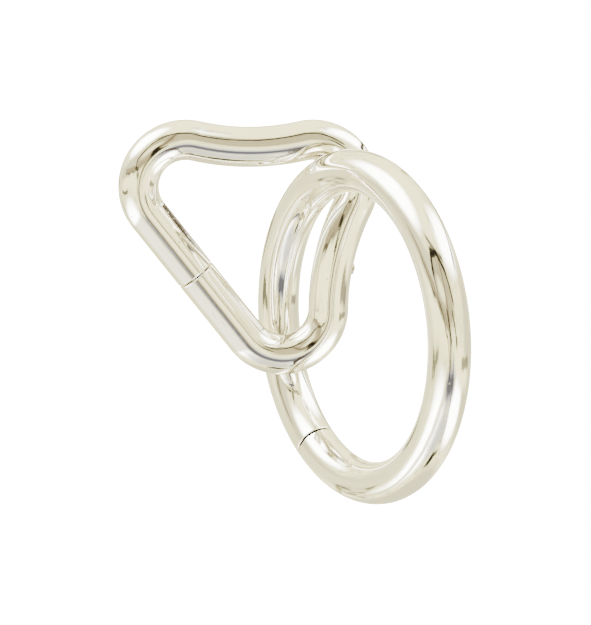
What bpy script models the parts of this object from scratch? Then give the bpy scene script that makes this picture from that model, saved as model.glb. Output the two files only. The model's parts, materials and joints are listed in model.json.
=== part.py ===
"""Two polished bar rings linked through each other: a round ring and a three-lobed loop, both openable.

Metres, +Z up. The origin is the underside of the loop's top leg, where the pair hangs. The loop lies in
the X-Z plane and shows its face toward -Y. Each ring is two curved bar halves that meet at a hinge seam
and a catch seam.
"""

import math

import bmesh
import bpy
from mathutils import Matrix, Vector

# Round ring: centreline radius, bar radius, where its centre is from the loop's, turn of its plane about Z
RING_R = 0.0220
RING_BAR = 0.0030
RING_FROM_LOOP = Vector((0.01256, -0.01285, -0.01250))
RING_YAW = math.radians(-66.0)
RING_HINGE = math.radians(60.0)
RING_CATCH = math.radians(238.5)

# Three-lobed loop: lobe centres make an isosceles triangle, its three lobes are round, and two of its
# three sides dip inward. The third is straight.
LOBE_HALF_BASE = 0.0114
LOBE_REACH = 0.0142
LOBE_R = 0.0066
DIP_R = 0.0345
LOOP_TURN = math.radians(37.8)
LOOP_BAR = 0.0029
LOOP_HINGE_PAST_DIP = 0.0044
LOOP_CATCH_UP_SIDE = 0.0005

# Seams and the small chamfer at each bar end
CATCH_GAP = 0.0003
HINGE_GAP = 0.0001
END_CHAMFER = 0.00012
SIDES = 20
STEP_ANGLE = math.radians(7.5)

# Hinge: a spindle fixed in the gate turns in the body, and a rivet's tip rides in its groove
SPINDLE_R = 0.00130
SPINDLE_IN_GATE = 0.0040
SPINDLE_IN_BODY = 0.0044
SPINDLE_FIT = 0.00005
GROOVE_R = 0.00090
GROOVE_LONG = 0.0019
RIVET_FROM_HINGE = 0.0029
RIVET_R = 0.00060
RIVET_FIT = 0.00005
RIVET_TIP = 0.00100
HEAD_R = 0.00082
HEAD_RISE = 0.00035
HEAD_OFF_RIM = 0.00003
FLUSH_BELOW_RIM = 0.00003

# Catch: a tongue fixed in one half reaches into an open slot in the other
STEM_R = 0.00130
STEM_FIT = 0.00005
BLADE_RADIAL = (-0.00090, 0.00050)
BLADE_HALF_THICK = 0.00085
BLADE_LONG = 0.0038
SLOT_RADIAL = (-0.00130, 0.00090)
SLOT_FLOOR = 0.00115
SLOT_LONG = 0.0046

# Detent: a sprung ball presses on the blade's side, and a plug closes its bore at the bar's outer rim
BALL_R = 0.00060
BALL_OFF_BLADE = 0.00005
BALL_FROM_SEAM = 0.0023
DETENT_BORE_R = 0.00065
SPRING_WIRE_R = 0.00008
SPRING_MEAN_R = 0.00042
SPRING_TURNS = 2.0
PLUG_LONG = 0.00042

# Upright line that the ring swings about where it hangs in the loop, seen from the loop's middle
SWING_FROM_LOOP = Vector((0.0055, 0.0020, 0.0))

NAME = "linked_rings"


class Arc:
    """A stretch of centreline that bends at a constant radius, seen in its own plane."""

    def __init__(self, centre, radius, start, sweep):
        self.centre = centre
        self.radius = radius
        self.start = start
        self.sweep = sweep
        self.length = radius * abs(sweep)

    def at(self, along):
        way = math.copysign(1.0, self.sweep)
        angle = self.start + way * along / self.radius
        out = Vector((math.cos(angle), math.sin(angle)))
        tangent = Vector((-out.y, out.x)) * way
        return self.centre + out * self.radius, tangent


class Straight:
    """A straight stretch of centreline."""

    sweep = 0.0

    def __init__(self, start, end):
        self.start = start
        self.length = (end - start).length
        self.tangent = (end - start).normalized()

    def at(self, along):
        return self.start + self.tangent * along, self.tangent


class Centreline:
    """A closed, anticlockwise centreline in a plane placed in space."""

    def __init__(self, pieces, origin, across, up, bar):
        self.pieces = pieces
        self.length = sum(piece.length for piece in pieces)
        self.origin = origin
        self.across = across
        self.up = up
        self.facing = across.cross(up)
        self.bar = bar

    def flat(self, along):
        rest = along % self.length
        for piece in self.pieces:
            if rest <= piece.length:
                return piece.at(rest)
            rest -= piece.length
        return self.pieces[-1].at(self.pieces[-1].length)

    def frame(self, along):
        """Matrix whose X is outward in the plane, Y is the plane's facing side and Z runs back along the bar."""
        spot, tangent = self.flat(along)
        centre = self.origin + self.across * spot.x + self.up * spot.y
        ahead = self.across * tangent.x + self.up * tangent.y
        outward = ahead.cross(self.facing)
        turn = Matrix((outward, self.facing, outward.cross(self.facing))).transposed()
        return Matrix.Translation(centre) @ turn.to_4x4()

    def stations(self, start, end):
        """Distances from start to end with both ends of every stretch and steps small enough for its bend."""
        marks = [start]
        base = math.floor(start / self.length) * self.length
        while base < end:
            inner = base
            for piece in self.pieces:
                count = max(1, math.ceil(abs(piece.sweep) / STEP_ANGLE))
                marks += [inner + piece.length * k / count for k in range(count + 1)]
                inner += piece.length
            base += self.length
        shortest = 0.0003
        kept = [start]
        for mark in sorted(marks):
            if mark > kept[-1] + shortest and mark < end - shortest:
                kept.append(mark)
        return kept + [end]


def ring_line():
    centre = loop_shift() + RING_FROM_LOOP
    across = Vector((math.cos(RING_YAW), math.sin(RING_YAW), 0.0))
    turn = Arc(Vector((0.0, 0.0)), RING_R, 0.0, 2.0 * math.pi)
    return Centreline([turn], centre, across, Vector((0.0, 0.0, 1.0)), RING_BAR)


def dip_centre():
    """Centre of the inward dip between the first lobe and the far one, in the loop's own plane."""
    first = Vector((0.0, LOBE_HALF_BASE))
    far = Vector((LOBE_REACH, 0.0))
    middle = (first + far) / 2.0
    half = (far - first).length / 2.0
    out = Vector((LOBE_HALF_BASE, LOBE_REACH)).normalized()
    return middle + out * math.sqrt((LOBE_R + DIP_R) ** 2 - half**2)


def turned(point):
    """From the loop's own symmetric plane to the plane it lies in, about the middle of its three lobes."""
    moved = point - Vector((LOBE_REACH / 3.0, 0.0))
    moved.rotate(Matrix.Rotation(LOOP_TURN, 2))
    return moved


def loop_shift():
    """Where the middle of the three lobes is, seen from the underside of the top leg."""
    dip = dip_centre()
    middle = Vector((LOBE_REACH / 2.0, LOBE_HALF_BASE / 2.0))
    down = (middle - dip).normalized()
    under = turned(dip + down * (DIP_R + LOOP_BAR))
    return Vector((-under.x, 0.0, -under.y))


def angle_of(vector):
    return math.atan2(vector.y, vector.x)


def loop_line():
    upper = Vector((0.0, LOBE_HALF_BASE))
    lower = Vector((0.0, -LOBE_HALF_BASE))
    far = Vector((LOBE_REACH, 0.0))
    dip_up = dip_centre()
    dip_low = Vector((dip_up.x, -dip_up.y))
    lobe_end = angle_of(dip_up - upper)
    far_end = angle_of(dip_up - far)
    dip_sweep = far_end - lobe_end
    side = Vector((-LOBE_R, 0.0))

    def arc(centre, radius, start, sweep):
        return Arc(turned(centre), radius, start + LOOP_TURN, sweep)

    pieces = [
        Straight(turned(upper + side), turned(lower + side)),
        arc(lower, LOBE_R, math.pi, math.pi - lobe_end),
        arc(dip_low, DIP_R, math.pi - lobe_end, -dip_sweep),
        arc(far, LOBE_R, -far_end, 2.0 * far_end),
        arc(dip_up, DIP_R, math.pi + far_end, -dip_sweep),
        arc(upper, LOBE_R, lobe_end, math.pi - lobe_end),
    ]
    return Centreline(pieces, loop_shift(), Vector((1.0, 0.0, 0.0)), Vector((0.0, 0.0, 1.0)), LOOP_BAR)


# ---------------------------------------------------------------- meshes and materials


def material(name, colour, roughness, metallic):
    made = bpy.data.materials.new(name)
    made.use_nodes = True
    shader = made.node_tree.nodes["Principled BSDF"]
    shader.inputs["Base Color"].default_value = (*colour, 1.0)
    shader.inputs["Roughness"].default_value = roughness
    shader.inputs["Metallic"].default_value = metallic
    return made


def collection(name, hidden):
    made = bpy.data.collections.new(name)
    bpy.context.scene.collection.children.link(made)
    made.hide_render = hidden
    return made


def thing(name, shape, place, smooth_angle=35.0):
    """A named object from a bmesh in world coordinates, with its origin at place."""
    shape.transform(Matrix.Translation(-place))
    if shape.calc_volume(signed=True) < 0.0:
        bmesh.ops.reverse_faces(shape, faces=shape.faces)
    mesh = bpy.data.meshes.new(name)
    shape.to_mesh(mesh)
    shape.free()
    made = bpy.data.objects.new(name, mesh)
    made.location = place
    for face in mesh.polygons:
        face.use_smooth = True
    mesh.set_sharp_from_angle(angle=math.radians(smooth_angle))
    return made


def add_ring(shape, frame, radius, sides):
    ring = []
    for k in range(sides):
        angle = 2.0 * math.pi * k / sides
        spot = Vector((radius * math.cos(angle), radius * math.sin(angle), 0.0))
        ring.append(shape.verts.new(frame @ spot))
    return ring


def skin(shape, rings):
    """Join rings of the same count into one closed body with flat ends."""
    for first, second in zip(rings, rings[1:]):
        count = len(first)
        for k in range(count):
            after = (k + 1) % count
            shape.faces.new((first[k], first[after], second[after], second[k]))
    shape.faces.new(list(reversed(rings[0])))
    shape.faces.new(rings[-1])


def swept(line, start, end, radius, sides, chamfer=0.0):
    """A round bar along a stretch of centreline."""
    shape = bmesh.new()
    marks = [(mark, radius) for mark in line.stations(start + chamfer, end - chamfer)]
    if chamfer:
        marks = [(start, radius - chamfer)] + marks + [(end, radius - chamfer)]
    skin(shape, [add_ring(shape, line.frame(mark), size, sides) for mark, size in marks])
    return shape


def turned_profile(frame, profile, sides):
    """A body of revolution about the frame's Z, from (height, radius) pairs."""
    shape = bmesh.new()
    rings = []
    for height, radius in profile:
        rings.append(add_ring(shape, frame @ Matrix.Translation((0.0, 0.0, height)), radius, sides))
    skin(shape, rings)
    return shape


def box(frame, low, high):
    shape = bmesh.new()
    bmesh.ops.create_cube(shape, size=1.0)
    size = high - low
    middle = (low + high) / 2.0
    shape.transform(frame @ Matrix.Translation(middle) @ Matrix.Diagonal((*size, 1.0)))
    return shape


def cut(target, tool, operation="DIFFERENCE"):
    boolean = target.modifiers.new(tool.name, "BOOLEAN")
    boolean.operation = operation
    boolean.solver = "EXACT"
    boolean.object = tool


class Workshop:
    """Collects finished parts and hidden cutters."""

    def __init__(self):
        self.parts = collection(NAME, False)
        self.cutters = collection(NAME + "_cutters", True)
        self.silver = material("polished_silver", (0.80, 0.80, 0.76), 0.06, 1.0)
        self.inner = material("inner_steel", (0.55, 0.55, 0.54), 0.28, 1.0)

    def part(self, name, shape, place, inner=False):
        made = thing(name, shape, place)
        made.data.materials.append(self.inner if inner else self.silver)
        self.parts.objects.link(made)
        return made

    def cutter(self, name, shape, place):
        made = thing(name + "_cutter", shape, place)
        made.display_type = "WIRE"
        made.hide_render = True
        self.cutters.objects.link(made)
        return made


# ---------------------------------------------------------------- sub-parts


def radial(frame, along, turn):
    """A frame on the bar's axis whose Z points to the rim, turned by an angle round the bar from the outer rim."""
    swing = Matrix.Rotation(turn, 4, "Z") @ Matrix.Rotation(math.pi / 2.0, 4, "Y")
    return frame @ Matrix.Translation((0.0, 0.0, along)) @ swing


def rim_rivet(name, shop, frame, place, tip, rim, rise):
    """A radial rivet up to the bar's rim: flush, or with a low domed head where rise is above zero."""
    if rise > 0.0:
        under = rim + HEAD_OFF_RIM
        profile = [(tip, RIVET_R), (under, RIVET_R), (under, HEAD_R)]
        profile += [(rim + rise * 0.55, HEAD_R), (rim + rise * 0.85, HEAD_R * 0.82), (rim + rise, HEAD_R * 0.5)]
    else:
        profile = [(tip, RIVET_R), (rim - FLUSH_BELOW_RIM, RIVET_R)]
    return shop.part(name, turned_profile(frame, profile, 16), place)


def hinge(shop, which, line, seam, body, gate, gate_ahead, rivet_turn, rivet_rise):
    """Spindle, its bores in both halves, and the rivet that holds it in the body."""
    at_seam = line.frame(seam)
    place = at_seam.translation
    flip = Matrix.Identity(4) if gate_ahead else Matrix.Rotation(math.pi, 4, "Y")
    # In this frame Z points into the body and -Z into the gate.
    into_body = at_seam @ flip
    half = GROOVE_LONG / 2.0
    middle = RIVET_FROM_HINGE
    profile = [
        (-SPINDLE_IN_GATE, SPINDLE_R),
        (middle - half, SPINDLE_R),
        (middle - half, GROOVE_R),
        (middle + half, GROOVE_R),
        (middle + half, SPINDLE_R),
        (SPINDLE_IN_BODY, SPINDLE_R),
    ]
    shop.part(which + "_hinge_spindle", turned_profile(into_body, profile, 20), place, True)

    extra = 0.0002
    bore = SPINDLE_R + SPINDLE_FIT
    body_bore = [(-0.0010, bore), (SPINDLE_IN_BODY + extra, bore)]
    gate_bore = [(-SPINDLE_IN_GATE - extra, bore), (0.0010, bore)]
    cut(body, shop.cutter(which + "_body_bore", turned_profile(into_body, body_bore, 20), place))
    cut(gate, shop.cutter(which + "_gate_bore", turned_profile(into_body, gate_bore, 20), place))

    # The rivet stands on the bar's own bent axis, a little way back from the seam.
    back = -RIVET_FROM_HINGE if gate_ahead else RIVET_FROM_HINGE
    spot = line.frame(seam + back)
    face = radial(spot, 0.0, rivet_turn)
    # The bar bends away from the straight spindle, so the rivet's tip is placed from the spindle.
    off_spindle = (spot.translation - place).dot(at_seam.col[0].to_3d())
    tip = RIVET_TIP - off_spindle * math.cos(rivet_turn)
    hole = turned_profile(face, [(0.0, RIVET_R + RIVET_FIT), (line.bar + 0.001, RIVET_R + RIVET_FIT)], 16)
    cut(body, shop.cutter(which + "_hinge_rivet", hole, place))
    rim_rivet(which + "_hinge_rivet", shop, face, place, tip, line.bar, rivet_rise)


def catch(shop, which, line, seam, slotted, tongued, slot_ahead, stem_long, rivet_turn, ball_turn, tongue_place):
    """Tongue, slot, tongue rivet and the sprung ball that presses on the tongue. The slot is open at the back."""
    at_seam = line.frame(seam)
    place = at_seam.translation
    way = 1.0 if slot_ahead else -1.0
    # Here Z points into the slotted half, X is outward in the plane and Y to the front.
    flip = Matrix.Diagonal((1.0, 1.0, -way, 1.0))
    into_slot = at_seam @ flip
    half_gap = CATCH_GAP / 2.0

    low = Vector((SLOT_RADIAL[0], -line.bar - 0.001, -0.001))
    high = Vector((SLOT_RADIAL[1], SLOT_FLOOR, SLOT_LONG + half_gap))
    cut(slotted, shop.cutter(which + "_slot", box(into_slot, low, high), place))

    # The stem starts flush with its own half's end and follows the bar.
    near = seam - way * half_gap
    far = seam - way * (half_gap + stem_long)
    bore_far = far - way * 0.0002
    bore_near = seam + way * 0.0005
    stem = swept(line, min(near, far), max(near, far), STEM_R, 16)
    bore = swept(line, min(bore_far, bore_near), max(bore_far, bore_near), STEM_R + STEM_FIT, 16)
    tongue = shop.part(which + "_catch_tongue", stem, tongue_place, True)
    cut(tongued, shop.cutter(which + "_stem_bore", bore, place))
    low = Vector((BLADE_RADIAL[0], -BLADE_HALF_THICK, -0.0012))
    high = Vector((BLADE_RADIAL[1], BLADE_HALF_THICK, BLADE_LONG))
    cut(tongue, shop.cutter(which + "_blade", box(into_slot, low, high), place), "UNION")

    # Tongue rivet, near the stem's far end.
    spot = line.frame(far + way * 0.0016)
    face = radial(spot, 0.0, rivet_turn)
    hole = turned_profile(face, [(-0.0002, RIVET_R + RIVET_FIT), (line.bar + 0.001, RIVET_R + RIVET_FIT)], 16)
    hole_tool = shop.cutter(which + "_tongue_rivet", hole, place)
    cut(tongued, hole_tool)
    cut(tongue, hole_tool)
    rim_rivet(which + "_tongue_rivet", shop, face, tongue_place, 0.0001, line.bar, 0.0)

    station = line.frame(seam + way * (BALL_FROM_SEAM + half_gap))
    detent(shop, which, station, into_slot, line.bar, slotted, ball_turn)


def detent(shop, which, station, into_slot, bar, slotted, ball_turn):
    """Ball, spring and plug in a bore from the bar's outer rim down to the slot."""
    face = radial(station, 0.0, ball_turn)
    outward = into_slot.col[0].to_3d()
    above_blade = into_slot @ Vector((BLADE_RADIAL[1] + BALL_OFF_BLADE + BALL_R, 0.0, 0.0))
    ball_mid = (above_blade - station.translation).dot(outward) / face.col[2].to_3d().dot(outward)
    ball_place = face @ Vector((0.0, 0.0, ball_mid))
    bore = [(ball_mid - 0.0006, DETENT_BORE_R), (bar + 0.001, DETENT_BORE_R)]
    cut(slotted, shop.cutter(which + "_detent_bore", turned_profile(face, bore, 20), face.translation))

    ball = bmesh.new()
    bmesh.ops.create_uvsphere(ball, u_segments=16, v_segments=10, radius=BALL_R)
    ball.transform(face @ Matrix.Translation((0.0, 0.0, ball_mid)))
    shop.part(which + "_detent_ball", ball, ball_place, True)

    plug_high = bar - FLUSH_BELOW_RIM
    plug_low = plug_high - PLUG_LONG
    plug = turned_profile(face, [(plug_low, BALL_R), (plug_high, BALL_R)], 20)
    shop.part(which + "_spring_plug", plug, face @ Vector((0.0, 0.0, plug_low)))

    seat = ball_mid + math.sqrt((BALL_R + SPRING_WIRE_R) ** 2 - SPRING_MEAN_R**2) + 0.00003
    top = plug_low - SPRING_WIRE_R - 0.00003
    coil(shop, which + "_detent_spring", face, seat, top, ball_place)


def coil(shop, name, frame, low, high, place):
    """A round-wire helix about the frame's Z with flat cut ends."""
    shape = bmesh.new()
    steps = round(SPRING_TURNS * 14)
    pitch = (high - low) / (2.0 * math.pi * SPRING_TURNS)
    rings = []
    for k in range(steps + 1):
        angle = 2.0 * math.pi * SPRING_TURNS * k / steps
        out = Vector((math.cos(angle), math.sin(angle), 0.0))
        ahead = Vector((-out.y * SPRING_MEAN_R, out.x * SPRING_MEAN_R, pitch)).normalized()
        side = ahead.cross(out)
        turn = Matrix((out, side, out.cross(side))).transposed().to_4x4()
        spot = out * SPRING_MEAN_R + Vector((0.0, 0.0, low + pitch * angle))
        rings.append(add_ring(shape, frame @ Matrix.Translation(spot) @ turn, SPRING_WIRE_R, 8))
    skin(shape, rings)
    shop.part(name, shape, place, True)


def build_ring(shop):
    """The round ring: its body half passes through the loop, its gate half is the rest."""
    line = ring_line()
    hinge_at = RING_R * RING_HINGE
    catch_at = RING_R * RING_CATCH
    pivot = line.frame(hinge_at).translation
    start = hinge_at + HINGE_GAP / 2.0
    end = catch_at - CATCH_GAP / 2.0
    shape = swept(line, start, end, line.bar, SIDES, END_CHAMFER)
    swing = loop_shift() + SWING_FROM_LOOP
    swing.z = line.origin.z
    body = shop.part("ring_body", shape, swing)
    start = catch_at + CATCH_GAP / 2.0
    end = hinge_at + line.length - HINGE_GAP / 2.0
    shape = swept(line, start, end, line.bar, SIDES, END_CHAMFER)
    gate = shop.part("ring_gate", shape, pivot)
    hinge(shop, "ring", line, hinge_at, body, gate, False, math.radians(-20.0), 0.0)
    stem = RING_R * math.radians(31.5)
    catch(shop, "ring", line, catch_at, body, gate, False, stem, math.radians(66.0), 0.0, pivot)


def loop_marks(line):
    """Distances round the loop to its catch seam and its hinge seam."""
    base = line.pieces[0].length
    catch_at = base / 2.0 - LOOP_CATCH_UP_SIDE
    dip_middle = base + line.pieces[1].length + line.pieces[2].length / 2.0
    return catch_at, dip_middle - LOOP_HINGE_PAST_DIP


def build_loop(shop):
    """The three-lobed loop: its gate half is the one round the lowest lobe."""
    line = loop_line()
    catch_at, hinge_at = loop_marks(line)
    pivot = line.frame(hinge_at).translation
    start = hinge_at + HINGE_GAP / 2.0
    end = catch_at + line.length - CATCH_GAP / 2.0
    shape = swept(line, start, end, line.bar, SIDES, END_CHAMFER)
    body = shop.part("loop_body", shape, line.origin)
    start = catch_at + CATCH_GAP / 2.0
    end = hinge_at - HINGE_GAP / 2.0
    shape = swept(line, start, end, line.bar, SIDES, END_CHAMFER)
    gate = shop.part("loop_gate", shape, pivot)
    hinge(shop, "loop", line, hinge_at, body, gate, False, 0.0, HEAD_RISE)
    back = math.radians(-66.0)
    catch(shop, "loop", line, catch_at, gate, body, True, 0.0085, back, math.radians(-14.0), line.origin)


def main():
    for old in list(bpy.data.objects):
        bpy.data.objects.remove(old)
    shop = Workshop()
    build_loop(shop)
    build_ring(shop)


main()
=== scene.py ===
"""Two mirror-polished bar rings linked through each other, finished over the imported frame.

Every piece of the frame is replaced by a finer one of the same size: round bars with exact surface
normals, softly rounded seam edges, rivets ground flush, and turned inner pieces.
"""

import json
import math

import bmesh
import bpy
from mathutils import Matrix, Vector


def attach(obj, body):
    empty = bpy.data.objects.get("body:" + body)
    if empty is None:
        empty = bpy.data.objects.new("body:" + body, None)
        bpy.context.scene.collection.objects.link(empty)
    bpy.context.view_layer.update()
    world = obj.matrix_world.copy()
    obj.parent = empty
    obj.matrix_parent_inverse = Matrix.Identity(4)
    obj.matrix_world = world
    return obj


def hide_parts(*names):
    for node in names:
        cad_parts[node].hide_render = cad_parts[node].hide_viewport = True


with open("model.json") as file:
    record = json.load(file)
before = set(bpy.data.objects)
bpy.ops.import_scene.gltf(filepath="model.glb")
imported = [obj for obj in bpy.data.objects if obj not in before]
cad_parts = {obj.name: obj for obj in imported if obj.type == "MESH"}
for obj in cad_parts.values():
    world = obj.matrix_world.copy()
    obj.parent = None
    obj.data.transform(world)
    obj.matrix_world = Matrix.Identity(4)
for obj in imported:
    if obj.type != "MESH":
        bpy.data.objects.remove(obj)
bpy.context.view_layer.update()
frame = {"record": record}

MM = 0.001

# Round ring
RING_R = 22.0 * MM
RING_BAR = 3.0 * MM
RING_FROM_LOOP = Vector((12.56, -12.85, -12.50)) * MM
RING_YAW = math.radians(-66.0)
RING_HINGE = math.radians(60.0)
RING_CATCH = math.radians(238.5)

# Three-lobed loop
LOBE_HALF_BASE = 11.4 * MM
LOBE_REACH = 14.2 * MM
LOBE_R = 6.6 * MM
DIP_R = 34.5 * MM
LOOP_TURN = math.radians(37.8)
LOOP_BAR = 2.9 * MM
LOOP_HINGE_PAST_DIP = 4.4 * MM
LOOP_CATCH_UP_SIDE = 0.5 * MM

# Seams
RING_CATCH_GAP = 0.36 * MM
LOOP_CATCH_GAP = 0.17 * MM
HINGE_GAP = 0.016 * MM
RING_ROUND = 0.14 * MM
LOOP_ROUND = 0.22 * MM
HINGE_ROUND = 0.004 * MM

# Hinge
SPINDLE_R = 1.30 * MM
SPINDLE_IN_GATE = 4.0 * MM
SPINDLE_IN_BODY = 4.4 * MM
SPINDLE_FIT = 0.05 * MM
GROOVE_R = 0.90 * MM
GROOVE_LONG = 1.9 * MM
RIVET_FROM_HINGE = 2.9 * MM
RIVET_R = 0.60 * MM
RIVET_HOLE_R = 0.69 * MM
RIVET_TIP = 1.0 * MM
HEAD_R = 0.82 * MM
HEAD_RISE = 0.35 * MM

# Catch
STEM_R = 1.30 * MM
STEM_FIT = 0.05 * MM
BLADE_LOW, BLADE_HIGH = -0.90 * MM, 0.50 * MM
BLADE_HALF_THICK = 0.85 * MM
BLADE_LONG = 3.8 * MM
SLOT_LOW, SLOT_HIGH = -1.30 * MM, 0.90 * MM
SLOT_FLOOR = 1.15 * MM
SLOT_LONG = 4.6 * MM
SEAM_MIDDLE = 0.15 * MM

# Detent
BALL_R = 0.60 * MM
BALL_OFF_BLADE = 0.05 * MM
BALL_FROM_SEAM = 2.3 * MM
DETENT_BORE_R = 0.63 * MM
SPRING_WIRE_R = 0.08 * MM
SPRING_MEAN_R = 0.42 * MM
SPRING_TURNS = 2.0
PLUG_LONG = 0.42 * MM

# Fineness of the meshes
BAR_SIDES = 72
INNER_SIDES = 40
INNER_STEP = math.radians(4.0)
TINY = 0.003 * MM

# Small allowances: how far a cutter runs past what it cuts, how much deeper a bore is than its pin,
# how far a rivet stays under the bar's surface and a head over it, and a tongue rivet's place
OVERCUT = 1.0 * MM
BORE_SPARE = 0.2 * MM
FLUSH_BELOW = 0.004 * MM
HEAD_OFF = 0.012 * MM
TONGUE_RIVET_IN = 1.6 * MM

UP = Vector((0.0, 0.0, 1.0))

# The viewpoint, seen from where the pair hangs
VIEW_AZIMUTH = math.radians(-8.0)
VIEW_ELEVATION = math.radians(10.0)
VIEW_SPOT = Vector((-69.16, -539.60, 74.98)) * MM
VIEW_LENS = 222.8


# ---------------------------------------------------------------- centrelines


class Arc:
    """A stretch of centreline that bends at a constant radius, seen in its own plane."""

    def __init__(self, centre, radius, start, sweep):
        self.centre = centre
        self.radius = radius
        self.start = start
        self.sweep = sweep
        self.length = radius * abs(sweep)

    def at(self, along):
        way = math.copysign(1.0, self.sweep)
        angle = self.start + way * along / self.radius
        out = Vector((math.cos(angle), math.sin(angle)))
        return self.centre + out * self.radius, Vector((-out.y, out.x)) * way

    def nearest(self, point):
        way = math.copysign(1.0, self.sweep)
        off = point - self.centre
        turn = (way * (math.atan2(off.y, off.x) - self.start)) % (2.0 * math.pi)
        if turn > abs(self.sweep):
            turn = 0.0 if turn > abs(self.sweep) / 2.0 + math.pi else abs(self.sweep)
        return self.at(turn * self.radius)[0]


class Straight:
    """A straight stretch of centreline."""

    sweep = 0.0

    def __init__(self, start, end):
        self.start = start
        self.length = (end - start).length
        self.tangent = (end - start).normalized()

    def at(self, along):
        return self.start + self.tangent * along, self.tangent

    def nearest(self, point):
        along = (point - self.start).dot(self.tangent)
        return self.at(min(max(along, 0.0), self.length))[0]


class Centreline:
    """A closed, anticlockwise centreline in a plane placed in space."""

    def __init__(self, pieces, origin, across, bar):
        self.pieces = pieces
        self.length = sum(piece.length for piece in pieces)
        self.origin = origin
        self.across = across
        self.facing = across.cross(UP)
        self.bar = bar

    def flat(self, along):
        rest = along % self.length
        for piece in self.pieces:
            if rest <= piece.length:
                return piece.at(rest)
            rest -= piece.length
        return self.pieces[-1].at(self.pieces[-1].length)

    def frame(self, along):
        """Matrix: X is outward in the plane, Y the facing side and Z runs back along the bar."""
        spot, tangent = self.flat(along)
        centre = self.origin + self.across * spot.x + UP * spot.y
        ahead = self.across * tangent.x + UP * tangent.y
        outward = ahead.cross(self.facing)
        turn = Matrix((outward, self.facing, outward.cross(self.facing))).transposed()
        return Matrix.Translation(centre) @ turn.to_4x4()

    def stations(self, start, end, step):
        marks = []
        base = math.floor(start / self.length) * self.length
        while base < end:
            inner = base
            for piece in self.pieces:
                by_bend = math.ceil(abs(piece.sweep) / step)
                count = max(1, by_bend, math.ceil(piece.length / (2.5 * MM)))
                marks += [inner + piece.length * k / count for k in range(count + 1)]
                inner += piece.length
            base += self.length
        shortest = 0.15 * MM
        kept = [start]
        for mark in sorted(marks):
            if mark > kept[-1] + shortest and mark < end - shortest:
                kept.append(mark)
        return kept + [end]

    def normal_at(self, point):
        """The bar's own surface normal at a point, and how far the point is from the centreline."""
        off = point - self.origin
        flat = Vector((off.dot(self.across), off.dot(UP)))
        near = min((piece.nearest(flat) for piece in self.pieces), key=lambda n: (n - flat).length)
        away = point - (self.origin + self.across * near.x + UP * near.y)
        return away.normalized(), away.length


def angle_of(vector):
    return math.atan2(vector.y, vector.x)


def dip_centre():
    first = Vector((0.0, LOBE_HALF_BASE))
    far = Vector((LOBE_REACH, 0.0))
    half = (far - first).length / 2.0
    out = Vector((LOBE_HALF_BASE, LOBE_REACH)).normalized()
    return (first + far) / 2.0 + out * math.sqrt((LOBE_R + DIP_R) ** 2 - half**2)


def turned(point):
    moved = point - Vector((LOBE_REACH / 3.0, 0.0))
    moved.rotate(Matrix.Rotation(LOOP_TURN, 2))
    return moved


def loop_middle():
    """The middle of the three lobes, seen from the underside of the top leg."""
    dip = dip_centre()
    down = (Vector((LOBE_REACH / 2.0, LOBE_HALF_BASE / 2.0)) - dip).normalized()
    under = turned(dip + down * (DIP_R + LOOP_BAR))
    return Vector((-under.x, 0.0, -under.y))


def ring_line():
    across = Vector((math.cos(RING_YAW), math.sin(RING_YAW), 0.0))
    whole = Arc(Vector((0.0, 0.0)), RING_R, 0.0, 2.0 * math.pi)
    return Centreline([whole], loop_middle() + RING_FROM_LOOP, across, RING_BAR)


def loop_line():
    upper = Vector((0.0, LOBE_HALF_BASE))
    lower = Vector((0.0, -LOBE_HALF_BASE))
    far = Vector((LOBE_REACH, 0.0))
    dip_up = dip_centre()
    dip_low = Vector((dip_up.x, -dip_up.y))
    lobe_end = angle_of(dip_up - upper)
    far_end = angle_of(dip_up - far)
    side = Vector((-LOBE_R, 0.0))

    def arc(centre, radius, start, sweep):
        return Arc(turned(centre), radius, start + LOOP_TURN, sweep)

    pieces = [
        Straight(turned(upper + side), turned(lower + side)),
        arc(lower, LOBE_R, math.pi, math.pi - lobe_end),
        arc(dip_low, DIP_R, math.pi - lobe_end, lobe_end - far_end),
        arc(far, LOBE_R, -far_end, 2.0 * far_end),
        arc(dip_up, DIP_R, math.pi + far_end, lobe_end - far_end),
        arc(upper, LOBE_R, lobe_end, math.pi - lobe_end),
    ]
    return Centreline(pieces, loop_middle(), Vector((1.0, 0.0, 0.0)), LOOP_BAR)


RING = ring_line()
LOOP = loop_line()


# ---------------------------------------------------------------- materials


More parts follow.
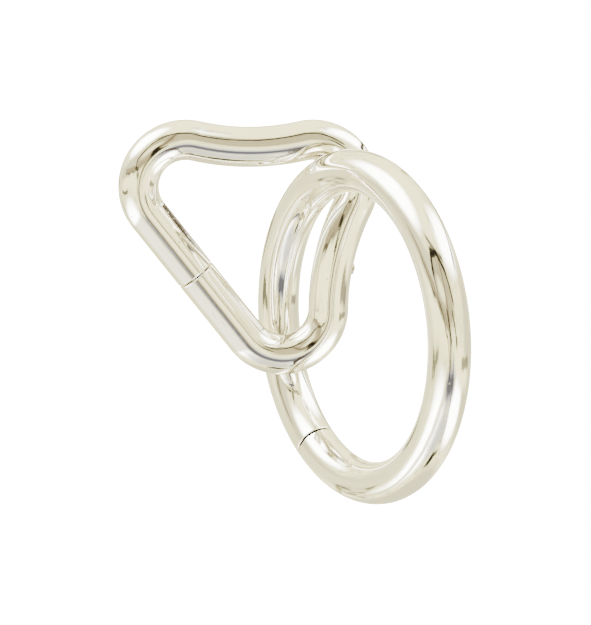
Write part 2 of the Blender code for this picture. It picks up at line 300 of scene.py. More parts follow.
class Nodes:
    """Small helper that adds shader nodes and joins them."""

    def __init__(self, tree):
        self.tree = tree

    def add(self, kind, inputs=None, **settings):
        node = self.tree.nodes.new(kind)
        for name, value in settings.items():
            setattr(node, name, value)
        for key, value in (inputs or {}).items():
            self.put(node.inputs[key], value)
        return node

    def put(self, socket, value):
        if isinstance(value, bpy.types.NodeSocket):
            self.tree.links.new(value, socket)
        else:
            socket.default_value = value

    def maths(self, operation, *values, clamp=False):
        node = self.add("ShaderNodeMath", dict(enumerate(values)), operation=operation, use_clamp=clamp)
        return node.outputs[0]

    def vector(self, operation, *values):
        node = self.add("ShaderNodeVectorMath", dict(enumerate(values)), operation=operation)
        scalar = operation in ("DOT_PRODUCT", "LENGTH", "DISTANCE")
        return node.outputs["Value" if scalar else "Vector"]

    def mix(self, factor, first, second):
        node = self.add("ShaderNodeMix", data_type="RGBA", blend_type="MIX")
        self.put(node.inputs[0], factor)
        self.put(node.inputs[6], first)
        self.put(node.inputs[7], second)
        return node.outputs[2]

    def smooth(self, value, low, high, to_low=0.0, to_high=1.0):
        node = self.add("ShaderNodeMapRange", interpolation_type="SMOOTHSTEP")
        limits = {"From Min": low, "From Max": high, "To Min": to_low, "To Max": to_high}
        for name, amount in limits.items():
            node.inputs[name].default_value = amount
        self.put(node.inputs["Value"], value)
        return node.outputs[0]

    def noise(self, vector, scale, detail=3.0, roughness=0.5):
        inputs = {"Vector": vector, "Scale": scale, "Detail": detail, "Roughness": roughness}
        return self.add("ShaderNodeTexNoise", inputs).outputs[0]


def mark_depth(nodes, place, marks):
    """How deep into a scratch or pit a point is, from 0 outside to 1 in the middle."""
    total = None
    for start, end, width in marks:
        along = end - start
        long = max(along.length_squared, 1e-12)
        off = nodes.vector("SUBTRACT", place, tuple(start))
        share = nodes.maths("DIVIDE", nodes.vector("DOT_PRODUCT", off, tuple(along)), long, clamp=True)
        reach = nodes.add("ShaderNodeVectorMath", {0: tuple(along)}, operation="SCALE")
        nodes.put(reach.inputs["Scale"], share)
        gap = nodes.vector("LENGTH", nodes.vector("SUBTRACT", off, reach.outputs[0]))
        depth = nodes.smooth(gap, width * 0.25, width, 1.0, 0.0)
        total = depth if total is None else nodes.maths("MAXIMUM", total, depth)
    return total


def polished(name, marks=(), bright=(0.86, 0.835, 0.77), dull=(0.82, 0.785, 0.70), seed=0.0):
    """Mirror-polished steel: faint smudges, hair scratches, buffing ripple, pits and listed marks."""
    made = bpy.data.materials.new(name)
    made.use_nodes = True
    nodes = Nodes(made.node_tree)
    shader = made.node_tree.nodes["Principled BSDF"]
    place = nodes.add("ShaderNodeTexCoord").outputs["Object"]
    moved = nodes.vector("ADD", place, (seed, seed * 0.7, -seed))

    smudge = nodes.noise(moved, 170.0, 4.0, 0.55)
    fine = nodes.noise(moved, 2600.0, 2.0)
    stretch = nodes.vector("MULTIPLY", moved, (1.0, 1.0, 0.06))
    hair = nodes.smooth(nodes.noise(stretch, 9000.0, 2.0), 0.66, 0.74)
    cells = nodes.add("ShaderNodeTexVoronoi", {"Vector": moved, "Scale": 520.0, "Randomness": 1.0})
    lucky = nodes.smooth(nodes.noise(moved, 260.0, 1.0), 0.54, 0.60)
    pit = nodes.maths("MULTIPLY", nodes.smooth(cells.outputs["Distance"], 0.03, 0.09, 1.0, 0.0), lucky)
    if marks:
        pit = nodes.maths("MAXIMUM", pit, mark_depth(nodes, place, marks))

    colour = nodes.mix(nodes.smooth(smudge, 0.42, 0.68), (*bright, 1.0), (*dull, 1.0))
    colour = nodes.mix(nodes.maths("MULTIPLY", pit, 0.75), colour, (0.16, 0.13, 0.10, 1.0))
    nodes.put(shader.inputs["Base Color"], colour)
    rough = nodes.smooth(smudge, 0.35, 0.75, 0.035, 0.10)
    rough = nodes.maths("ADD", rough, nodes.maths("MULTIPLY", hair, 0.05))
    rough = nodes.maths("ADD", rough, nodes.maths("MULTIPLY", pit, 0.4))
    nodes.put(shader.inputs["Roughness"], rough)
    shader.inputs["Metallic"].default_value = 1.0

    ripple = nodes.noise(moved, 480.0, 2.0)
    height = nodes.maths("MULTIPLY", ripple, 1.0e-5)
    height = nodes.maths("ADD", height, nodes.maths("MULTIPLY", fine, 1.1e-6))
    height = nodes.maths("SUBTRACT", height, nodes.maths("MULTIPLY", hair, 3.0e-7))
    height = nodes.maths("SUBTRACT", height, nodes.maths("MULTIPLY", pit, 2.0e-5))
    bump = nodes.add("ShaderNodeBump", {"Height": height, "Strength": 1.0, "Distance": 1.0})
    nodes.put(shader.inputs["Normal"], bump.outputs[0])
    return made


def machined(name):
    """Plain turned steel with fine tool marks and a little oil staining."""
    made = bpy.data.materials.new(name)
    made.use_nodes = True
    nodes = Nodes(made.node_tree)
    shader = made.node_tree.nodes["Principled BSDF"]
    place = nodes.add("ShaderNodeTexCoord").outputs["Object"]
    stain = nodes.noise(place, 420.0, 4.0)
    grain = nodes.noise(nodes.vector("MULTIPLY", place, (1.0, 1.0, 6.0)), 5200.0, 3.0)
    colour = nodes.mix(nodes.smooth(stain, 0.4, 0.7), (0.58, 0.57, 0.55, 1.0), (0.42, 0.39, 0.35, 1.0))
    nodes.put(shader.inputs["Base Color"], colour)
    nodes.put(shader.inputs["Roughness"], nodes.smooth(grain, 0.3, 0.7, 0.22, 0.38))
    shader.inputs["Metallic"].default_value = 1.0
    height = nodes.maths("MULTIPLY", grain, 2.0e-6)
    bump = nodes.add("ShaderNodeBump", {"Height": height, "Distance": 1.0})
    nodes.put(shader.inputs["Normal"], bump.outputs[0])
    return made


def surface_spot(line, along, turn):
    """A point on a bar's surface, turned round the bar from its outer rim toward the facing side."""
    out = Vector((line.bar * math.cos(turn), line.bar * math.sin(turn), 0.0))
    return line.frame(along) @ out


def marks_on(line, listed):
    """Scratches as (start and end along the bar, start and end turn in degrees, half width)."""
    made = []
    for first, last, turn_a, turn_b, width in listed:
        start = surface_spot(line, first, math.radians(turn_a))
        end = surface_spot(line, last, math.radians(turn_b))
        made.append((start, end, width))
    return made


# ---------------------------------------------------------------- meshes


def add_ring(shape, place, radius, sides):
    ring = []
    for k in range(sides):
        angle = 2.0 * math.pi * k / sides
        spot = Vector((radius * math.cos(angle), radius * math.sin(angle), 0.0))
        ring.append(shape.verts.new(place @ spot))
    return ring


def skin(shape, rings):
    for first, second in zip(rings, rings[1:]):
        count = len(first)
        for k in range(count):
            after = (k + 1) % count
            shape.faces.new((first[k], first[after], second[after], second[k]))
    shape.faces.new(list(reversed(rings[0])))
    shape.faces.new(rings[-1])


def swept(line, start, end, radius, sides, round_start=0.0, round_end=0.0, step=math.radians(2.5)):
    """A round bar along a stretch of centreline, its end edges rounded."""
    shape = bmesh.new()
    marks = [(mark, radius) for mark in line.stations(start + round_start, end - round_end, step)]
    parts = 5
    for k in range(1, parts + 1):
        turn = math.pi / 2.0 * k / parts
        inset = 1.0 - math.cos(turn)
        reach = 1.0 - math.sin(turn)
        if round_start:
            marks.insert(0, (start + round_start * reach, radius - round_start * inset))
        if round_end:
            marks.append((end - round_end * reach, radius - round_end * inset))
    skin(shape, [add_ring(shape, line.frame(mark), size, sides) for mark, size in marks])
    return shape


def revolved(place, profile, sides=48):
    """A body of revolution about the frame's Z, from (height, radius) pairs."""
    shape = bmesh.new()
    rings = []
    for height, radius in profile:
        rings.append(add_ring(shape, place @ Matrix.Translation((0.0, 0.0, height)), radius, sides))
    skin(shape, rings)
    return shape


def box(place, low, high):
    shape = bmesh.new()
    bmesh.ops.create_cube(shape, size=1.0)
    middle = (low + high) / 2.0
    shape.transform(place @ Matrix.Translation(middle) @ Matrix.Diagonal((*(high - low), 1.0)))
    return shape


def to_object(name, shape):
    if shape.calc_volume(signed=True) < 0.0:
        bmesh.ops.reverse_faces(shape, faces=shape.faces)
    mesh = bpy.data.meshes.new(name)
    shape.to_mesh(mesh)
    shape.free()
    made = bpy.data.objects.new(name, mesh)
    bpy.context.scene.collection.objects.link(made)
    return made


def carve(target, tools):
    """Apply Booleans, each tool a (bmesh, operation) pair, and drop the tools."""
    helpers = []
    for shape, operation in tools:
        tool = to_object("tool", shape)
        helpers.append(tool)
        boolean = target.modifiers.new("carve", "BOOLEAN")
        boolean.operation = operation
        boolean.solver = "EXACT"
        boolean.object = tool
    graph = bpy.context.evaluated_depsgraph_get()
    graph.update()
    mesh = bpy.data.meshes.new_from_object(target.evaluated_get(graph))
    target.modifiers.clear()
    target.data = mesh
    for tool in helpers:
        bpy.data.objects.remove(tool)
    return target


def shade(target, sharp=38.0):
    for face in target.data.polygons:
        face.use_smooth = True
    target.data.set_sharp_from_angle(angle=math.radians(sharp))


def shade_bar(target, line):
    """Smooth shading with the bar's exact normals wherever a face lies on its round surface."""
    shade(target, 30.0)
    mesh = target.data
    normals = [corner.vector.copy() for corner in mesh.corner_normals]
    exact = {}
    for face in mesh.polygons:
        flat_way, _ = line.normal_at(face.center)
        if face.normal.dot(flat_way) < 0.93:
            continue
        for corner in face.loop_indices:
            vertex = mesh.loops[corner].vertex_index
            if vertex not in exact:
                exact[vertex] = line.normal_at(mesh.vertices[vertex].co)
            way, away = exact[vertex]
            if abs(away - line.bar) < TINY:
                normals[corner] = way
    mesh.normals_split_custom_set(normals)


BODY_OF = {}
for body_name, members in frame["record"]["behaviour"]["bodies"].items():
    for member in members:
        BODY_OF[member] = body_name


def finish_piece(made, node, material):
    """Name a finished piece after the frame's piece that it stands for, and let it ride there."""
    made.name = node + "_fine"
    made.data.materials.clear()
    made.data.materials.append(material)
    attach(made, BODY_OF[node])
    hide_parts(node)


# ---------------------------------------------------------------- sub-parts


def radial(place, turn):
    """A frame on the bar's axis whose Z points to the rim, turned round the bar from the outer rim."""
    return place @ Matrix.Rotation(turn, 4, "Z") @ Matrix.Rotation(math.pi / 2.0, 4, "Y")


def flush_pin(line, along, place, low, radius, node, material):
    """A pin from low up to the bar's surface, its end following that surface."""
    made = to_object(node, revolved(place, [(low, radius), (line.bar + OVERCUT, radius)]))
    reach = 2.5 * MM
    cap = swept(line, along - reach, along + reach, line.bar - FLUSH_BELOW, 96, step=math.radians(1.0))
    carve(made, [(cap, "INTERSECT")])
    shade(made, 40.0)
    finish_piece(made, node, material)


def domed_rivet(line, place, tip, node, material):
    """A rivet with a low round head standing on the bar's surface."""
    under = line.bar + HEAD_OFF
    edge = 0.05 * MM
    profile = [(tip, RIVET_R - edge), (tip + edge, RIVET_R), (under, RIVET_R), (under, HEAD_R)]
    steps = 8
    for k in range(1, steps + 1):
        turn = math.pi / 2.0 * k / steps
        height = under + (HEAD_RISE - HEAD_OFF) * math.sin(turn)
        profile.append((height, max(HEAD_R * math.cos(turn), 0.02 * MM)))
    made = to_object(node, revolved(place, profile))
    shade(made, 50.0)
    finish_piece(made, node, material)


def spindle(which, into_body, material):
    half = GROOVE_LONG / 2.0
    middle = RIVET_FROM_HINGE
    edge = 0.08 * MM
    profile = [
        (-SPINDLE_IN_GATE, SPINDLE_R - edge),
        (-SPINDLE_IN_GATE + edge, SPINDLE_R),
        (middle - half, SPINDLE_R),
        (middle - half + edge, GROOVE_R),
        (middle + half - edge, GROOVE_R),
        (middle + half, SPINDLE_R),
        (SPINDLE_IN_BODY - edge, SPINDLE_R),
        (SPINDLE_IN_BODY, SPINDLE_R - edge),
    ]
    node = which + "_hinge_spindle"
    made = to_object(node, revolved(into_body, profile))
    shade(made)
    finish_piece(made, node, material)


def tongue(which, line, near, far, into_slot, rivet_hole, material):
    node = which + "_catch_tongue"
    stem = swept(line, min(near, far), max(near, far), STEM_R, INNER_SIDES, step=INNER_STEP)
    made = to_object(node, stem)
    low = Vector((BLADE_LOW, -BLADE_HALF_THICK, -1.2 * MM)) / MM
    high = Vector((BLADE_HIGH, BLADE_HALF_THICK, BLADE_LONG)) / MM
    blade = box(Matrix.Identity(4), low, high)
    bmesh.ops.bevel(blade, geom=list(blade.edges), offset=0.10, segments=3, affect="EDGES", profile=0.5)
    blade.transform(into_slot @ Matrix.Scale(MM, 4))
    carve(made, [(blade, "UNION"), (rivet_hole, "DIFFERENCE")])
    shade(made)
    finish_piece(made, node, material)


def detent(which, line, along, into_slot, turn, silver, inner):
    """Ball, spring and plug, and the bore that they sit in."""
    station = line.frame(along)
    place = radial(station, turn)
    outward = into_slot.col[0].to_3d()
    above = into_slot @ Vector((BLADE_HIGH + BALL_OFF_BLADE + BALL_R, 0.0, 0.0))
    ball_mid = (above - station.translation).dot(outward) / place.col[2].to_3d().dot(outward)

    ball = bmesh.new()
    bmesh.ops.create_icosphere(ball, subdivisions=4, radius=BALL_R)
    ball.transform(place @ Matrix.Translation((0.0, 0.0, ball_mid)))
    made = to_object(which + "_detent_ball", ball)
    shade(made, 60.0)
    finish_piece(made, which + "_detent_ball", inner)

    plug_low = line.bar - 0.03 * MM - PLUG_LONG
    flush_pin(line, along, place, plug_low, BALL_R, which + "_spring_plug", silver)

    seat = ball_mid + math.sqrt((BALL_R + SPRING_WIRE_R) ** 2 - SPRING_MEAN_R**2) + 0.03 * MM
    top = plug_low - SPRING_WIRE_R - 0.03 * MM
    coil(which + "_detent_spring", place, seat, top, inner)
    return revolved(place, [(ball_mid - BALL_R, DETENT_BORE_R), (line.bar + OVERCUT, DETENT_BORE_R)])


def coil(node, place, low, high, material):
    shape = bmesh.new()
    steps = round(SPRING_TURNS * 40)
    pitch = (high - low) / (2.0 * math.pi * SPRING_TURNS)
    rings = []
    for k in range(steps + 1):
        angle = 2.0 * math.pi * SPRING_TURNS * k / steps
        out = Vector((math.cos(angle), math.sin(angle), 0.0))
        ahead = Vector((-out.y * SPRING_MEAN_R, out.x * SPRING_MEAN_R, pitch)).normalized()
        side = ahead.cross(out)
        turn = Matrix((out, side, out.cross(side))).transposed().to_4x4()
        spot = out * SPRING_MEAN_R + Vector((0.0, 0.0, low + pitch * angle))
        rings.append(add_ring(shape, place @ Matrix.Translation(spot) @ turn, SPRING_WIRE_R, 12))
    skin(shape, rings)
    made = to_object(node, shape)
    shade(made, 50.0)
    finish_piece(made, node, material)


def build(which, line, spec, silver, silver_gate, silver_small, inner):
    """One whole ring: both bar halves with everything in them."""
    hinge_at, catch_at = spec["hinge"], spec["catch"]
    gap, edge = spec["gap"] / 2.0, spec["round"]
    body_is_slotted = spec["slot_in"] == "body"

    # The gate runs up to the hinge seam and the body away from it, all the way round to the catch.
    body_end = catch_at if catch_at > hinge_at else catch_at + line.length
    gate_start = body_end - line.length
    fine = HINGE_GAP / 2.0
    body = swept(line, hinge_at + fine, body_end - gap, line.bar, BAR_SIDES, HINGE_ROUND, edge)
    gate = swept(line, gate_start + gap, hinge_at - fine, line.bar, BAR_SIDES, edge, HINGE_ROUND)
    body, gate = to_object(which + "_body", body), to_object(which + "_gate", gate)
    body_tools, gate_tools = [], []

    # Hinge
    at_hinge = line.frame(hinge_at)
    into_body = at_hinge @ Matrix.Rotation(math.pi, 4, "Y")
    spindle(which, into_body, inner)
    bore = SPINDLE_R + SPINDLE_FIT
    body_bore = [(-OVERCUT, bore), (SPINDLE_IN_BODY + BORE_SPARE, bore)]
    gate_bore = [(-SPINDLE_IN_GATE - BORE_SPARE, bore), (OVERCUT, bore)]
    body_tools.append((revolved(into_body, body_bore), "DIFFERENCE"))
    gate_tools.append((revolved(into_body, gate_bore), "DIFFERENCE"))
    along = hinge_at + RIVET_FROM_HINGE
    spot = line.frame(along)
    place = radial(spot, spec["hinge_rivet_turn"])
    off_spindle = (spot.translation - at_hinge.translation).dot(at_hinge.col[0].to_3d())
    tip = RIVET_TIP - off_spindle * math.cos(spec["hinge_rivet_turn"])
    hole = [(0.0, RIVET_HOLE_R), (line.bar + OVERCUT, RIVET_HOLE_R)]
    body_tools.append((revolved(place, hole), "DIFFERENCE"))
    rivet = which + "_hinge_rivet"
    if spec["domed"]:
        domed_rivet(line, place, tip, rivet, silver_small)
    else:
        flush_pin(line, along, place, tip, RIVET_R, rivet, silver_small)

    # Catch
    way = -1.0 if body_is_slotted else 1.0
    at_catch = line.frame(catch_at)
    into_slot = at_catch @ Matrix.Diagonal((1.0, 1.0, -way, 1.0))
    low = Vector((SLOT_LOW, -line.bar - OVERCUT, -OVERCUT))
    high = Vector((SLOT_HIGH, SLOT_FLOOR, SLOT_LONG + SEAM_MIDDLE))
    slot_tools = body_tools if body_is_slotted else gate_tools
    stem_tools = gate_tools if body_is_slotted else body_tools
    slot_tools.append((box(into_slot, low, high), "DIFFERENCE"))

    near = catch_at - way * SEAM_MIDDLE
    far = catch_at - way * (SEAM_MIDDLE + spec["stem"])
    ends = sorted((catch_at + way * 0.5 * MM, far - way * BORE_SPARE))
    bore = swept(line, *ends, STEM_R + STEM_FIT, INNER_SIDES, step=INNER_STEP)
    stem_tools.append((bore, "DIFFERENCE"))
    along = far + way * TONGUE_RIVET_IN
    place = radial(line.frame(along), spec["tongue_rivet_turn"])
    hole = [(-BORE_SPARE, RIVET_HOLE_R), (line.bar + OVERCUT, RIVET_HOLE_R)]
    stem_tools.append((revolved(place, hole), "DIFFERENCE"))
    tongue(which, line, near, far, into_slot, revolved(place, hole), inner)
    rivet = which + "_tongue_rivet"
    flush_pin(line, along, place, 0.1 * MM, RIVET_R, rivet, silver_small)

    along = catch_at + way * (BALL_FROM_SEAM + SEAM_MIDDLE)
    detent_bore = detent(which, line, along, into_slot, spec["ball_turn"], silver_small, inner)
    slot_tools.append((detent_bore, "DIFFERENCE"))

    halves = ((body, body_tools, "_body", silver), (gate, gate_tools, "_gate", silver_gate))
    for made, tools, node, metal in halves:
        carve(made, tools)
        shade_bar(made, line)
        finish_piece(made, which + node, metal)


def loop_seams():
    base = LOOP.pieces[0].length
    catch_at = base / 2.0 - LOOP_CATCH_UP_SIDE
    dip_middle = base + LOOP.pieces[1].length + LOOP.pieces[2].length / 2.0
    return catch_at, dip_middle - LOOP_HINGE_PAST_DIP


def build_all():
    catch_at, hinge_at = loop_seams()
    whole = LOOP.length
    body_marks = marks_on(LOOP, [
        (catch_at + whole - 5.6 * MM, catch_at + whole - 5.6 * MM, 111.0, 111.0, 0.19 * MM),
    ])
    gate_marks = marks_on(LOOP, [
        (catch_at + 5.6 * MM, catch_at + 7.4 * MM, 60.0, 52.0, 0.10 * MM),
        (catch_at + 7.0 * MM, catch_at + 8.2 * MM, 68.0, 64.0, 0.08 * MM),
    ])
    ring_gate_marks = marks_on(RING, [
        (RING_R * math.radians(328.0), RING_R * math.radians(323.5), 46.0, 41.0, 0.06 * MM),
        (RING_R * math.radians(281.0), RING_R * math.radians(284.0), 70.0, 66.0, 0.05 * MM),
    ])
    inner = machined("inner_steel_turned")
    dulled = {"bright": (0.50, 0.45, 0.34), "dull": (0.42, 0.37, 0.27)}
    small = polished("silver_rivets", seed=0.03, **dulled)
    loop_spec = {
        "hinge": hinge_at, "catch": catch_at, "gap": LOOP_CATCH_GAP, "round": LOOP_ROUND,
        "slot_in": "gate", "hinge_rivet_turn": 0.0, "domed": True, "stem": 8.5 * MM,
        "tongue_rivet_turn": math.radians(-66.0), "ball_turn": math.radians(-14.0),
    }
    build("loop", LOOP, loop_spec, polished("silver_loop_body", body_marks, seed=0.01),
          polished("silver_loop_gate", gate_marks, seed=0.05), small, inner)
    ring_spec = {
        "hinge": RING_R * RING_HINGE, "catch": RING_R * RING_CATCH, "gap": RING_CATCH_GAP,
        "round": RING_ROUND, "slot_in": "body", "hinge_rivet_turn": math.radians(-20.0),
        "domed": False, "stem": RING_R * math.radians(31.5),
        "tongue_rivet_turn": math.radians(66.0), "ball_turn": 0.0,
    }
    build("ring", RING, ring_spec, polished("silver_ring_body", seed=0.09),
          polished("silver_ring_gate", ring_gate_marks, seed=0.13), small, inner)


# ---------------------------------------------------------------- studio


def to_viewer():
    flat = math.cos(VIEW_ELEVATION)
    x, y = math.sin(VIEW_AZIMUTH) * flat, -math.cos(VIEW_AZIMUTH) * flat
    return Vector((x, y, math.sin(VIEW_ELEVATION)))


def camera():
    data = bpy.data.cameras.new("camera")
    data.lens = VIEW_LENS
    data.sensor_width = 36.0
    data.clip_start = 0.05
    data.clip_end = 200.0
    made = bpy.data.objects.new("camera", data)
    bpy.context.scene.collection.objects.link(made)
    made.location = VIEW_SPOT
    made.rotation_mode = "QUATERNION"
    made.rotation_quaternion = (-to_viewer()).to_track_quat("-Z", "Y")
    bpy.context.scene.camera = made


def floor():
    """A plain near-white floor well below, too wide for its edge to show."""
    shape = bmesh.new()
    bmesh.ops.create_grid(shape, x_segments=1, y_segments=1, size=60.0)
    shape.transform(Matrix.Translation((0.0, 0.0, -1.20)))
    mesh = bpy.data.meshes.new("floor")
    shape.to_mesh(mesh)
    shape.free()
    made = bpy.data.objects.new("floor", mesh)
    bpy.context.scene.collection.objects.link(made)
    material = bpy.data.materials.new("floor_white")
    material.use_nodes = True
    shader = material.node_tree.nodes["Principled BSDF"]
    shader.inputs["Base Color"].default_value = (0.95, 0.95, 0.95, 1.0)
    shader.inputs["Roughness"].default_value = 0.9
    shader.inputs["Emission Color"].default_value = (1.0, 1.0, 1.0, 1.0)
    shader.inputs["Emission Strength"].default_value = 24.0
    mesh.materials.append(material)
    made.visible_glossy = False
    made.visible_diffuse = False


class Tent:
    """The light tent as an all-round picture: degrees right of and above the viewer's own place."""

    def __init__(self, nodes, way):
        self.nodes = nodes
        front = to_viewer()
        right = Vector((math.cos(VIEW_AZIMUTH), math.sin(VIEW_AZIMUTH), 0.0))
        above = right.cross(-front).normalized()
        x = nodes.vector("DOT_PRODUCT", way, tuple(right))
        y = nodes.vector("DOT_PRODUCT", way, tuple(above))
        angle = nodes.maths("ARCCOSINE", nodes.vector("DOT_PRODUCT", way, tuple(front)))
        away = nodes.maths("MULTIPLY", angle, 180.0 / math.pi)
        flat = nodes.add("ShaderNodeCombineXYZ", {"X": x, "Y": y}).outputs[0]
        length = nodes.maths("MAXIMUM", nodes.vector("LENGTH", flat), 0.0001)
        scale = nodes.maths("DIVIDE", away, length)
        spot = nodes.add("ShaderNodeVectorMath", {0: flat}, operation="SCALE")
        nodes.put(spot.inputs["Scale"], scale)
        wobble = nodes.add("ShaderNodeTexNoise", {"Vector": way, "Scale": 4.0, "Detail": 2.0})
        even = nodes.vector("SUBTRACT", wobble.outputs["Color"], (0.5, 0.5, 0.5))
        shift = nodes.vector("MULTIPLY", even, (8.0, 8.0, 0.0))
        self.spot = nodes.vector("ADD", spot.outputs[0], shift)
        self.mottle = nodes.noise(way, 14.0, 4.0, 0.6)

    def oval(self, x, y, wide, high, soft=0.35, turn=0.0):
        nodes = self.nodes
        off = nodes.vector("SUBTRACT", self.spot, (x, y, 0.0))
        c, s = math.cos(math.radians(turn)), math.sin(math.radians(turn))
        a = nodes.vector("DOT_PRODUCT", off, (c / wide, s / wide, 0.0))
        b = nodes.vector("DOT_PRODUCT", off, (-s / high, c / high, 0.0))
        flat = nodes.add("ShaderNodeCombineXYZ", {"X": a, "Y": b}).outputs[0]
        return nodes.smooth(nodes.vector("LENGTH", flat), 1.0 - soft, 1.0 + soft, 1.0, 0.0)

    def stroke(self, points, half, soft):
        nodes = self.nodes
        total = None
        for (x1, y1), (x2, y2) in zip(points, points[1:]):
            off = nodes.vector("SUBTRACT", self.spot, (x1, y1, 0.0))
            along = (x2 - x1, y2 - y1, 0.0)
            long = along[0] ** 2 + along[1] ** 2
            share = nodes.maths("DIVIDE", nodes.vector("DOT_PRODUCT", off, along), long, clamp=True)
            reach = nodes.add("ShaderNodeVectorMath", {0: along}, operation="SCALE")
            nodes.put(reach.inputs["Scale"], share)
            gap = nodes.vector("LENGTH", nodes.vector("SUBTRACT", off, reach.outputs[0]))
            depth = nodes.smooth(gap, half, half + soft, 1.0, 0.0)
            total = depth if total is None else nodes.maths("MAXIMUM", total, depth)
        return total

    def broken(self, mask, low=0.42, high=0.60):
        return self.nodes.maths("MULTIPLY", mask, self.nodes.smooth(self.mottle, low, high))


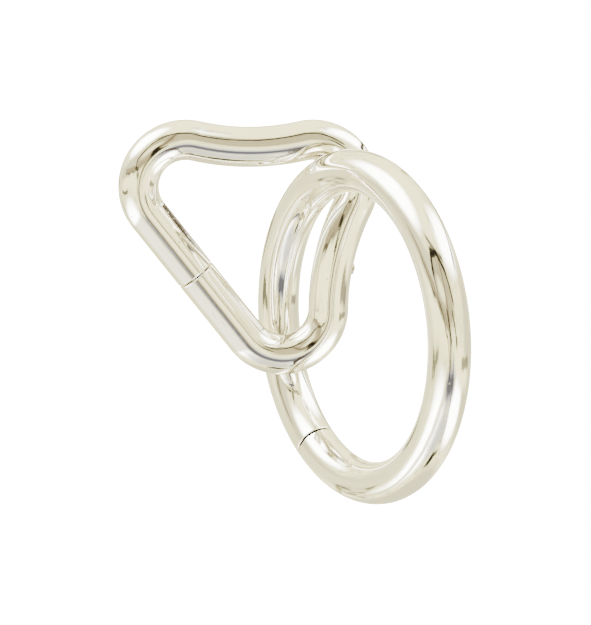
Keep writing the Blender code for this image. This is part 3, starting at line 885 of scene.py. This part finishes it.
def studio():
    """A soft light tent round the pair: cream cloth, white panels, openings and thin dark folds."""
    world = bpy.data.worlds.new("studio")
    bpy.context.scene.world = world
    world.use_nodes = True
    nodes = Nodes(world.node_tree)
    background = world.node_tree.nodes["Background"]
    way = nodes.vector("NORMALIZE", nodes.add("ShaderNodeTexCoord").outputs["Generated"])
    tent = Tent(nodes, way)

    white = (16.0, 16.5, 16.0)
    cream = (4.2, 4.05, 2.1)
    pale = (2.4, 2.3, 1.3)
    shade_of = (1.75, 1.65, 1.0)
    tan = (0.95, 0.80, 0.42)
    grey = (0.27, 0.27, 0.30)
    light_grey = (1.5, 1.5, 1.55)
    umber = (0.45, 0.36, 0.24)
    brown = (0.16, 0.115, 0.065)
    dark = (0.035, 0.026, 0.017)
    black = (0.012, 0.008, 0.007)

    cloth = nodes.mix(nodes.smooth(tent.mottle, 0.36, 0.62), (*pale, 1.0), (*cream, 1.0))
    layers = [
        # Cloth overhead and behind the sides
        (tent.oval(4.0, 92.0, 46.0, 46.0, 0.5), cream, 0.9),
        (tent.oval(112.0, -20.0, 30.0, 70.0, 0.3), shade_of, 0.9),
        (tent.oval(0.0, -128.0, 90.0, 30.0, 0.3), shade_of, 0.9),
        (tent.oval(-128.0, -6.0, 26.0, 60.0, 0.4), pale, 0.9),
        (tent.oval(96.0, 62.0, 24.0, 20.0, 0.4), shade_of, 0.7),
        # White panels
        (tent.oval(-55.0, 64.0, 35.0, 25.0, 0.35, 20.0), white, 1.0),
        (tent.oval(66.0, 62.0, 36.0, 23.0, 0.45, 10.0), white, 0.9),
        (tent.oval(-52.0, -56.0, 38.0, 24.0, 0.4, 8.0), white, 1.0),
        (tent.oval(52.0, -60.0, 27.0, 24.0, 0.35), white, 1.0),
        (tent.oval(66.0, -28.0, 44.0, 14.0, 0.35, -6.0), cream, 0.9),
        # Left side wall
        (tent.oval(-68.0, 15.0, 46.0, 15.0, 0.3), shade_of, 0.9),
        (tent.stroke([(-82.0, 13.0), (-40.0, 4.0), (0.0, -8.0)], 3.0, 2.0), tan, 1.0),
        (tent.stroke([(-78.0, 8.0), (-40.0, 0.0), (0.0, -12.0)], 0.6, 1.2), brown, 0.9),
        (tent.stroke([(-82.0, -4.0), (-40.0, -8.0), (-6.0, -15.0)], 5.0, 4.0), cream, 0.8),
        (tent.stroke([(-8.0, -36.0), (-27.0, -49.0), (-60.0, -71.0), (-88.0, -84.0)], 5.0, 5.0),
         pale, 0.9),
        # Floor of the tent in front
        (tent.oval(-6.0, -68.0, 30.0, 15.0, 0.4), light_grey, 0.8),
        (tent.oval(12.0, -38.0, 21.0, 15.0, 0.4), light_grey, 1.0),
        (tent.oval(8.0, -38.0, 19.0, 8.0, 0.5), grey, 1.0),
        (tent.stroke([(20.0, -20.0), (23.0, -50.0), (22.0, -78.0)], 1.2, 1.4), brown, 1.0),
        (tent.stroke([(-8.0, -92.0), (20.0, -87.0)], 1.8, 2.5), dark, 0.9),
        (tent.oval(2.0, -89.0, 10.0, 6.0, 0.5), dark, 1.0),
        # Opening at the viewer
        (tent.oval(0.0, 16.0, 37.0, 22.0, 0.2), tan, 0.85),
        (tent.oval(-14.0, 13.0, 14.0, 6.0, 0.5), cream, 0.7),
        (tent.stroke([(2.0, 36.0), (3.0, 4.0), (5.0, -26.0)], 2.5, 3.5), tan, 1.0),
        (tent.stroke([(2.0, 34.0), (4.0, 10.0), (4.0, -26.0)], 0.4, 1.4), brown, 0.85),
        (tent.stroke([(-37.0, 17.0), (-27.0, 31.0), (0.0, 39.0), (20.0, 33.0), (34.0, 15.0)],
                     2.0, 1.6), dark, 1.0),
        (tent.stroke([(-22.0, 41.0), (22.0, 40.0)], 1.0, 3.0), dark, 0.9),
        (tent.stroke([(-38.0, 16.0), (-34.0, 3.0), (-20.0, -6.0), (-5.0, -15.0), (3.0, -33.0)],
                     0.8, 1.3), dark, 1.0),
        (tent.stroke([(-2.0, 2.0), (11.0, -13.0)], 1.6, 2.0), black, 0.97),
        (tent.stroke([(26.0, 4.0), (38.0, -13.0)], 2.2, 2.2), dark, 1.0),
        # Folds and seams of the cloth
        (tent.stroke([(-100.0, -17.0), (-84.0, -19.0), (-62.0, -18.0)], 1.6, 2.4), dark, 0.9),
        (tent.stroke([(-136.0, 4.0), (-147.0, 40.0), (-137.0, 66.0), (-118.0, 86.0)], 2.0, 3.5),
         brown, 0.8),
        (tent.broken(tent.stroke([(-112.0, -40.0), (-104.0, -85.0)], 4.0, 4.0)), brown, 0.9),
        (tent.stroke([(-106.0, -82.0), (-84.0, -100.0)], 1.5, 4.0), brown, 0.5),
        (tent.stroke([(86.0, 46.0), (104.0, 76.0), (122.0, 114.0)], 2.5, 3.5), brown, 1.0),
        (tent.stroke([(70.0, -24.0), (106.0, -21.0)], 2.5, 4.0), umber, 0.9),
        (tent.broken(tent.oval(26.0, 68.0, 8.0, 9.0, 0.5)), tan, 0.9),
        (tent.stroke([(152.0, -30.0), (142.0, 60.0), (60.0, 152.0), (-80.0, 142.0)], 2.0, 5.0),
         tan, 0.7),
    ]
    colour = cloth
    for mask, tint, most in layers:
        colour = nodes.mix(nodes.maths("MULTIPLY", mask, most), colour, (*tint, 1.0))
    seen = nodes.add("ShaderNodeLightPath").outputs["Is Camera Ray"]
    nodes.put(background.inputs["Color"], nodes.mix(seen, colour, (24.0, 24.0, 24.0, 1.0)))
    background.inputs["Strength"].default_value = 1.0


build_all()
camera()
floor()
studio()
